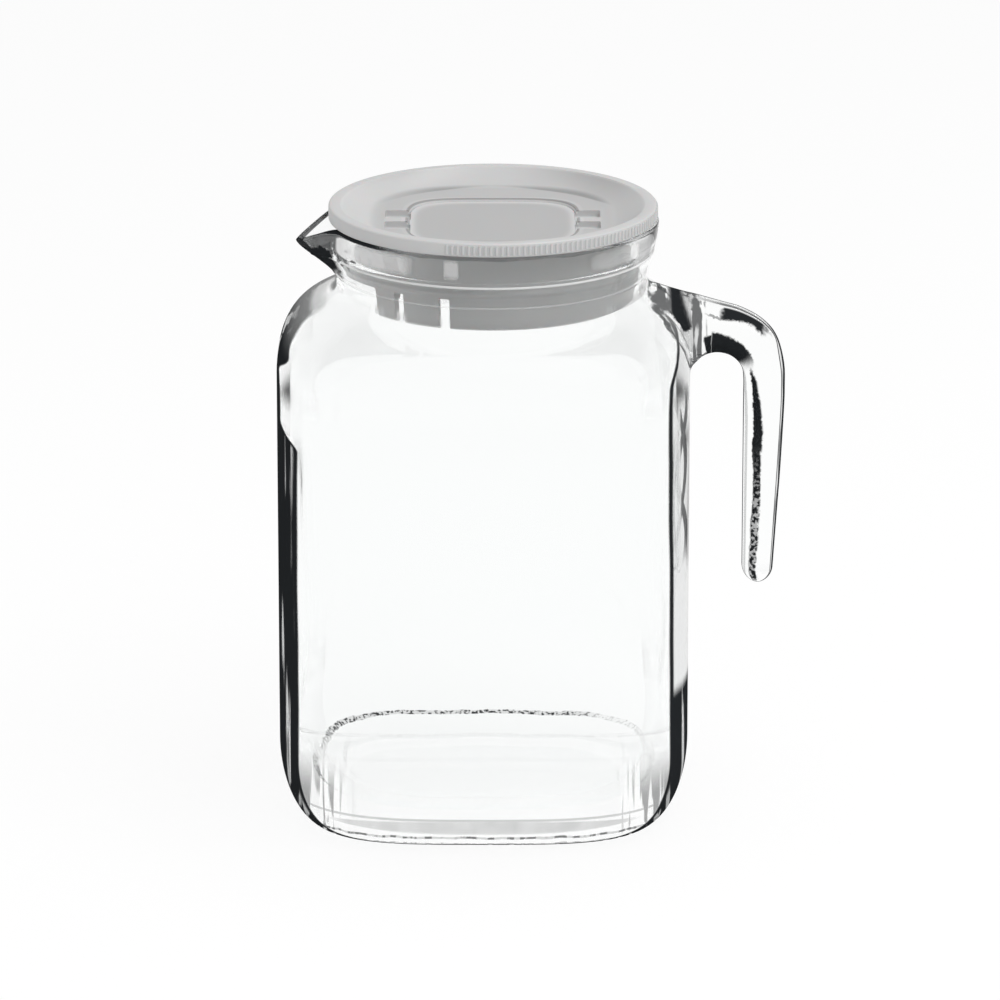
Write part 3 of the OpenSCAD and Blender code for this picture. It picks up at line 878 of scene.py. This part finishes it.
class Graph:
    """A node tree, with one method for every node"""

    def __init__(self, tree):
        self.tree = tree
        tree.nodes.clear()

    def node(self, kind, *values, **named):
        """A new node. Names in small letters are settings, other names and the values in order are sockets"""
        made = self.tree.nodes.new(kind if "Node" in kind else "ShaderNode" + kind)
        for key in [key for key in named if key.islower()]:
            setattr(made, key, named.pop(key))
        for place, value in list(enumerate(values)) + [(k.replace("_", " "), v) for k, v in named.items()]:
            if isinstance(value, Value):
                self.tree.links.new(value.socket, made.inputs[place])
            elif value is not None:
                made.inputs[place].default_value = value
        return [Value(self, socket) for socket in made.outputs]

    def mix(self, factor, first, second):
        """A colour between two colours"""
        return self.node("Mix", factor, None, None, None, None, None, first, second, data_type="RGBA")[2]

    def blend(self, factor, first, second):
        """A surface between two surfaces"""
        return self.node("MixShader", factor, first, second)[0]

    def noise(self, place, scale, detail=2.0):
        """Noise with one scale, or with one for each axis"""
        if isinstance(scale, tuple):
            place, scale = self.node("Mapping", place, None, None, scale)[0], 1.0
        return self.node("TexNoise", place, None, scale, detail)[0]

    def mark(self, name):
        """The three values that each point of a mesh stores under a name"""
        return self.node("SeparateXYZ", self.node("Attribute", attribute_name=name)[1])


def graph_of(block):
    """The cleared node tree of a material or a world"""
    block.use_nodes = True
    return Graph(block.node_tree)


def body_painted_refraction(graze, x, y, z, up, wander, strands, mottle):
    """Painted dark refraction down the sides and along the shoulder: solid on the lip's side, in lines on the
    handle's
    """
    right, top = x.rise(0.0, 0.03), z.rise(0.145, 0.158)
    thin = z.span(0.121, 0.127, 0.141, 0.147) * (1 - right)
    past = graze - (0.53 + 0.32 * thin + 0.25 * up.rise(0.1, 0.6) + 0.12 * wander)
    edge = past.rise(0.0, 0.03) * z.fall(0.157, 0.159) * (1 - 0.25 * top) * (1 - 0.5 * z.rise(0.1555, 0.157))
    solid = 1 - 0.6 * strands.rise(0.55, 0.62) * past.rise(0.06, 0.14) * (1 - top)
    twisted = (past - 0.24 - 0.1 * z.wave(150, 0.5)).near(0.06)
    twisted = twisted.most((past - 0.2 - 0.12 * z.wave(103, 2.4)).near(0.05))
    twisted *= (0.35 + 0.65 * strands.rise(0.42, 0.52)) * z.span(0.078, 0.092, 0.132, 0.142)
    lines = right * z.rise(0.042, 0.047)
    edge *= lines * past.fall(0.06, 0.1).most(0.85 * twisted, 0.18) + (1 - lines) * solid
    brow = 0.75 * (1 - right) * (graze + 0.08 * strands).rise(0.92, 0.98) * z.span(0.148, 0.156, 0.162, 0.1645)
    # Painted dark where the lid's skirt shows through the neck, which it fills to its sides
    neck = 0.38 * right * past.span(-0.06, -0.03, 0.24, 0.28) * z.span(0.172, 0.174, 0.181, 0.1825)
    # A painted dark patch of refraction on the shoulder under the handle's root
    reach = ((y / 0.027) ** 2 + ((z - 0.1485) / 0.0125) ** 2) ** 0.5 + 0.5 * (mottle - 0.5)
    ringed = 0.85 * (reach - 0.88).near(0.09)
    filled = (0.35 + 0.5 * (0.6 * mottle + 0.4 * strands).rise(0.45, 0.55)) * (1 - 0.85 * (reach - 0.62).near(0.08))
    patch = x.span(0.031, 0.037, 0.049, 0.052) * reach.fall(0.9, 0.97) * ringed.most(filled)
    return edge.most(patch, neck, brow)


def handle_painted_refraction(across, along, y, graze, wander, mottle, strands, speck):
    """Painted dark refraction in the handle: inside the arch, along the grip, on the bend and at the root"""
    ragged = across + 0.22 * (mottle - 0.5) + 0.02 * speck
    shifted = along + 0.012 * (mottle - 0.5)
    wide, end = 0.15 * along.rise(0.024, 0.045), along.fall(0.094, 0.099)
    strip = ragged.rise(0.22, 0.26) * ragged.fall(0.28 + wide, 0.34 + wide)
    strip *= along.rise(0.025, 0.029) * end * (1 - 0.45 * speck * along.rise(0.05, 0.075))
    arch = (ragged + 10 * along).fall(0.6, 0.66) * along.span(0.0062, 0.007, 0.02, 0.028)
    blob = ragged.rise(0.82, 0.88) * (y * y).rise(0.000006, 0.000016) * shifted.span(0.0095, 0.012, 0.0185, 0.021)
    stroke = 0.6 * (ragged - 0.86).near(0.025) * along.span(0.0045, 0.0065, 0.0105, 0.012)
    wedge = along.span(0.0035, 0.0042, 0.0064, 0.007) * (ragged - 20 * along).fall(0.36, 0.42)
    rim = 0.35 * (across - 0.07).near(0.035) * along.rise(0.024, 0.03) * end
    root = 0.85 * (0.65 * strands + 0.35 * mottle).rise(0.49, 0.54) * along.fall(0.0055, 0.0062)
    cap = ragged.rise(0.6, 0.68) * along.span(-0.009, -0.006, 0.001, 0.004)
    outer = across.rise(0.6, 0.8) * along.rise(0.018, 0.032)
    edge = (graze + 0.1 * wander + 0.16 * outer).rise(0.8, 0.9)
    return strip.most(arch, blob, stroke, wedge, rim, root, cap, edge)


def lip_painted_refraction(amount, height, x, y, graze, mottle, speck):
    """Painted dark refraction along the rim of the lip, on its tip and under it"""
    left = 0 - x
    rim = (height + 0.06 * (mottle - 0.5)).rise(0.945, 0.97) * (0.4 + 0.6 * left.rise(0.036, 0.048))
    rim *= 1 - 0.85 * y.rise(0.0, 0.003)
    under = amount.rise(0.02, 0.2) * height.rise(0.3, 0.45) * (graze + 0.7 * (mottle - 0.5)).rise(0.56, 0.64)
    strokes = 0.85 * left.rise(0.051, 0.058) * height.rise(0.35, 0.5)
    strokes *= (mottle + 0.3 * height - 0.06 * speck).rise(0.62, 0.7)
    tip = 0.8 * left.rise(0.0625, 0.0665) * height.rise(0.3, 0.5) * y.fall(-0.001, 0.001)
    above = height - 0.7
    spot = ((x + 0.0573 + 0.011 * above) / 0.0014) ** 2 + (above / 0.14) ** 2 + 0.8 * (mottle - 0.5)
    spot = 0.8 * spot.fall(0.8, 1.1) * y.fall(-0.008, -0.005)
    return rim.most(under, strokes, tip, spot)


def painted_floor_line(out_x, y, z, foot, mottle, speck):
    """A painted dark line for the knurled ring under the base, which shows through the glass as a ragged line round
    the inside of the floor
    """
    wide, deep = 0.965 * out_x, 1.05 * y
    reach = ((wide * wide) ** 1.5 + (deep * deep) ** 1.5) ** (1 / 3) + 0.0015 * (mottle - 0.5) - foot + 0.0009
    line = y.rise(-0.04, -0.02) * (1 - 0.75 * out_x.rise(0.03, 0.04))
    line = line.most(0.55 * (0 - out_x).rise(0.03, 0.04) * y.rise(-0.056, -0.048))
    return line * reach.near(0.001) * (0.25 + 0.75 * speck) * z.fall(0.02, 0.022)


def heel_painted_lines(out_x, y, z, strands, mottle):
    """Painted dark refraction: thin lines and a soft grey band along the front of the heel, and fine streaks in its
    corners
    """
    low, far = z - 0.002 * (mottle - 0.5), out_x * out_x
    lines = 0.8 * (low - 0.0042).near(0.0006).most(0.6 * (low - 0.0014).near(0.0005))
    lines *= 0.4 + 0.6 * strands.rise(0.45, 0.55)
    band = (0.15 + 0.3 * mottle) * (z - 0.0082).near(0.0031 - 1.2 * far) * far.fall(0.0016, 0.0024)
    corners = 0.6 * far.rise(0.0014, 0.0021) * z.span(0.002, 0.004, 0.014, 0.03) * (strands + 6 * z).rise(0.57, 0.63)
    return lines.most(0.35 * (z - 0.0108).near(0.0005), band, corners) * y.fall(-0.03, 0.0)


def neck_lights(amount, x, y, z, mottle, glass):
    """Light on the ring lines round the neck, and the lamps' reflections in its front"""
    up = z - glass.body_h
    lines = (up - glass.upper_ring_h).near(0.0005).most(0.3 * (up - glass.lower_ring_h).near(0.0004))
    glare = (x + 0.047).near(0.013).most(0.8 * (x + 0.024).near(0.0026), 0.35 * (x - 0.0245).near(0.009))
    glare *= (0.7 + 0.3 * mottle.rise(0.45, 0.55)) * z.span(0.1745, 0.1775, 0.1805, 0.1825) * y.fall(-0.01, 0.0)
    return (lines * amount.fall(0.0, 0.05)).most(0.8 * glare)


def glass_finish(finishes, glass):
    """Clear glass: real refraction, painted dark streaks of refraction where the eye grazes it, painted light on the
    neck, and a stippled contact ring
    """
    material = bpy.data.materials.new("clear_glass")
    g = graph_of(material)
    place = g.node("TexCoord")[3]
    x, y, z = g.node("SeparateXYZ", place)
    wander = g.noise(place, (30, 30, 14)) - 0.5
    strands = g.noise(place, (420, 60, 11), 3.0)
    mottle = g.noise(place, (160, 160, 70), 3.0)
    speck = g.noise(place, 900.0).rise(0.45, 0.6)
    form = g.node("NewGeometry")
    up, inside = g.node("SeparateXYZ", form[1])[2], form[6]
    graze = g.node("LayerWeight", 0.5)[1]
    # The painted dark on the walls is judged by a normal that leans up, so that the walls are no darker when seen
    # from higher up
    leaning = g.node("VectorMath", form[1], (0, 0, 0.4), operation="ADD")[0]
    leaning = g.node("VectorMath", leaning, operation="NORMALIZE")[0]
    wall = 1.077 * g.node("LayerWeight", 0.5, leaning)[1] + 0.037
    (amount, height, out), (across, along, on) = g.mark("lip"), g.mark("grip")
    out_x, front = x - axis_x(glass), 1 - inside
    outer = out * front

    # The painted dark refraction in the body, the lip, the handle, the floor and the heel
    dark = out * body_painted_refraction(wall, x, y, z, up, wander, strands, mottle).most(
        lip_painted_refraction(amount, height, x, y, graze, mottle, speck))
    dark = dark.most(on * handle_painted_refraction(across, along, y, graze, wander, mottle, strands, speck)) * front
    line = painted_floor_line(out_x, y, z, glass.body_w / 2 - glass.foot_inset, mottle, speck) * front * (1 - out)
    light = neck_lights(amount, x, y, z, mottle, glass) * outer
    dark = dark.most(line, heel_painted_lines(out_x, y, z, strands, mottle) * outer, 0.75 * light)
    # The painted streaks take the painted dark colour, or a pale grey where they are the painted light and
    # reflections on the neck
    tint = g.mix(light.rise(0.05, 0.2), (*finishes.painted_graze_shade, 1), (0.9, 0.9, 0.9, 1))

    ring = z.fall(0.0001, 0.0008)
    dots = g.node("TexVoronoi", place, None, 900.0, feature="F1")[0].rise(0.2, 0.6)
    waves = g.noise(place, (46, 46, 20.7), 1.5)
    relief = g.node("Bump", 0.16, 0.0006, Height=waves)[0]
    relief = g.node("Bump", 0.5, 0.0002, Height=dots * ring, Normal=relief)[0]
    bent = g.node(
        "BsdfPrincipled", Base_Color=(*finishes.glass, 1), Roughness=ring * 0.12, IOR=GLASS_IOR,
        Transmission_Weight=1.0, Normal=relief,
    )[0]
    # A matte surface that carries the painted dark and the painted light
    painted_streak_shader = g.node("BsdfPrincipled", Base_Color=tint, Roughness=0.6, Specular_IOR_Level=0.0, Normal=relief)[0]
    # The thick base and the shoulder bend the light less than one solid of glass would. What enters straight
    # also leaves straight, so that no light is caught in the wall
    base = 0.93 * z.fall(0.02, 0.04)
    shoulder = 0.85 * (z - 0.014 * on + 0.012 * inside).rise(0.131, 0.139) * z.fall(0.16, 0.164)
    straight = g.node("BsdfTransparent", (0.995, 0.998, 0.997, 1))[0]
    seen = g.blend(dark, g.blend(base.most(shoulder), bent, straight), painted_streak_shader)
    clear = g.node("BsdfTransparent", (0.975, 0.98, 0.98, 1))[0]
    g.node("OutputMaterial", g.blend(g.node("LightPath")[1], seen, clear))
    return material


def plastic_finish(finishes, lid, p):
    """Satin grey plastic with a faint moulded grain, with painted highlights on its edges and painted shade in its
    hollows
    """
    material = bpy.data.materials.new("satin_plastic")
    g = graph_of(material)
    place = g.node("TexCoord")[3]
    x, y, z = g.node("SeparateXYZ", place)
    x = x - p["x"]
    radius = (x * x + y * y) ** 0.5
    # How far a place lies outside the recess's edge
    past = ((x * x) ** 2 + (y * y) ** 2) ** 0.25 - lid.recess_w / 2
    dish, floor, land = z - p["dish"], z - p["recess"], z - p["top"]
    upper = floor.rise(-0.001, -0.0005) * radius.fall(0.044, 0.045)
    on_dish = upper * dish.rise(-0.0004, -0.0002)
    # Painted light and shade round the recess: a light band outside its edge, a dark line at the edge, a highlight on
    # its wall and shade on its floor next to the wall
    tone = 0.07 * on_dish * past.span(0.0008, 0.0011, 0.0017, 0.0024)
    tone -= 0.34 * on_dish * past.span(-0.0004, 0.0, 0.0006, 0.001)
    tone += 0.2 * upper * floor.rise(0.0001, 0.0003) * dish.fall(-0.0005, -0.0003) * past.fall(0.0002, 0.0006)
    tone -= 0.07 * upper * floor.fall(0.0, 0.0002) * past.fall(0.0, 0.0004)
    # Painted highlight on the bar between the pockets
    bar = (y * y).fall((lid.bar_w / 2 - 0.0004) ** 2, (lid.bar_w / 2) ** 2) * (x * x).fall(0.00105, 0.0011)
    tone += 0.1 * on_dish * past.rise(0.0, 0.001) * bar
    # Painted highlight on the flat land round the top
    tone += 0.05 * land.rise(-0.0006, -0.0001)
    # Painted shade on the skirt below the flange, darker on its outside away from the lip
    skirt = land.fall(-lid.flange_h - 0.001, -lid.flange_h)
    tone -= skirt * (0.1 + radius.rise(0.0385, 0.0395) * (0.07 + 0.25 * x.rise(-0.035, -0.01)))
    # Painted light and shade on the dish's slope: lighter towards the lip, darker towards the handle and at the back
    slope = dish.rise(0.0003, 0.0012) * radius.fall(0.0458, 0.0463)
    tone -= slope * (2.0 * x + 0.03 * y.rise(0.01, 0.03))
    # Painted light on the floors of the pockets, so that they look shallower
    tone += 0.14 * floor.fall(-0.0009, -0.0006) * radius.fall(0.035, 0.036)
    # The gaps between the grip ribs are in shade
    side = land.span(-lid.flange_h + 0.0004, -lid.flange_h + 0.0008, -0.0013, -0.0009)
    gap = (radius - lid.lid_d / 2).fall(-0.0003, -0.00008) * radius.rise(0.049, 0.0494)
    tone -= 0.11 * side * gap * (x + math.cos(lid.rib_start) * radius).rise(0.0, 0.0004)
    cloud = g.noise(place, 38.0)
    tone = 1 + tone + 0.05 * (cloud - 0.5)
    tint = g.mix(tone * 0.5, (0, 0, 0, 1), (*(2 * c for c in finishes.plastic), 1))
    relief = g.node("Bump", 0.08, 0.00005, Height=g.noise(place, 5200.0))[0]
    body = g.node(
        "BsdfPrincipled", Base_Color=tint, Roughness=0.4 + 0.08 * cloud, IOR=PLASTIC_IOR,
        Subsurface_Weight=0.12, Subsurface_Scale=0.0012, Normal=relief,
    )[0]
    g.node("OutputMaterial", body)
    return material


def floor_finish():
    """A pale floor that is white to the eye and through glass, and keeps the shadow"""
    material = bpy.data.materials.new("pale_floor")
    g = graph_of(material)
    path = g.node("LightPath")
    matte = g.node("BsdfDiffuse", (0.92, 0.92, 0.92, 1))[0]
    glow = g.node("Emission", WHITE, 1.03)[0]
    g.node("OutputMaterial", g.blend(path[0].most(path[3], path[6]) * 0.82, matte, glow))
    return material


# ---- The studio ----

class PITCHER_OT_studio(Operator):
    """Lays the pale floor, sets the soft light and stands the camera at the photograph's angle"""

    bl_idname = "pitcher.studio"
    bl_label = "Studio"

    def execute(self, context):
        scene, studio = context.scene, context.scene.pitcher_studio
        half = studio.floor_size / 2
        floor = put("floor", [(-half, -half, 0), (half, -half, 0), (half, half, 0), (-half, half, 0)], [(0, 1, 2, 3)])
        floor.data.materials.append(floor_finish())
        self.surround(scene, studio)
        self.lamp("overhead", (0.5, -0.45, 1.35), (0.0, 0.0, 0.1), 1.2, studio.key_power)
        self.stand_camera(scene, studio)
        scene.view_settings.view_transform = "Standard"
        return {"FINISHED"}

    def surround(self, scene, studio):
        scene.world = bpy.data.worlds.new("studio")
        g = graph_of(scene.world)
        path = g.node("LightPath")
        seen = path[0].most(path[6])
        height = g.node("SeparateXYZ", g.node("TexCoord")[0])[2]
        # The room above the white sweep is dark to the glass
        room = path[6].most(path[3]) * height.rise(0.36, 0.6) * 0.9
        level = (seen + (1 - seen) * studio.ambient) * (1 - room)
        g.node("OutputWorld", g.node("Background", WHITE, level)[0])

    def lamp(self, name, place, aim, size, power):
        light = bpy.data.lights.new(name, "AREA")
        light.size = size
        light.energy = power
        lamp = link(name, light)
        lamp.location = place
        lamp.rotation_euler = (Vector(aim) - Vector(place)).to_track_quat("-Z", "Y").to_euler()

    def stand_camera(self, scene, studio):
        glass = scene.pitcher_glass
        lens = bpy.data.cameras.new("camera")
        lens.sensor_width = 36
        lens.lens = studio.lens
        lens.clip_end = 30
        camera = link("camera", lens)
        aim = Vector((axis_x(glass) + glass.neck_shift + studio.aim_off, 0, studio.aim_z))
        back = Vector((0, -math.cos(studio.pitch), math.sin(studio.pitch)))
        camera.location = aim + back * studio.distance
        camera.rotation_euler = (math.pi / 2 - studio.pitch, 0, 0)
        scene.camera = camera


class PITCHER_PT_panel(Panel):
    """Lists the pitcher's pieces and their sizes"""

    bl_label = "Pitcher"
    bl_idname = "PITCHER_PT_panel"
    bl_space_type = "VIEW_3D"
    bl_region_type = "UI"
    bl_category = "Pitcher"

    def draw(self, context):
        for operator in OPERATORS:
            self.layout.operator(operator.bl_idname)
        for name in SETTINGS:
            box = self.layout.box()
            group = getattr(context.scene, name)
            for key in group.bl_rna.properties.keys():
                if key not in ("rna_type", "name"):
                    box.prop(group, key)


OPERATORS = (PITCHER_OT_studio, PITCHER_OT_jug, PITCHER_OT_lid, PITCHER_OT_ribs)
SETTINGS = {
    "pitcher_glass": GlassSizes,
    "pitcher_handle": HandleSizes,
    "pitcher_lid": LidSizes,
    "pitcher_finishes": Finishes,
    "pitcher_studio": StudioSettings,
}


def register():
    for cls in (*SETTINGS.values(), *OPERATORS, PITCHER_PT_panel):
        bpy.utils.register_class(cls)
    for name, group in SETTINGS.items():
        setattr(bpy.types.Scene, name, PointerProperty(type=group))


def unregister():
    for name in SETTINGS:
        delattr(bpy.types.Scene, name)
    for cls in reversed((*SETTINGS.values(), *OPERATORS, PITCHER_PT_panel)):
        bpy.utils.unregister_class(cls)


def main():
    register()
    for operator in OPERATORS:
        group, name = operator.bl_idname.split(".")
        getattr(getattr(bpy.ops, group), name)()


if __name__ == "__main__":
    main()
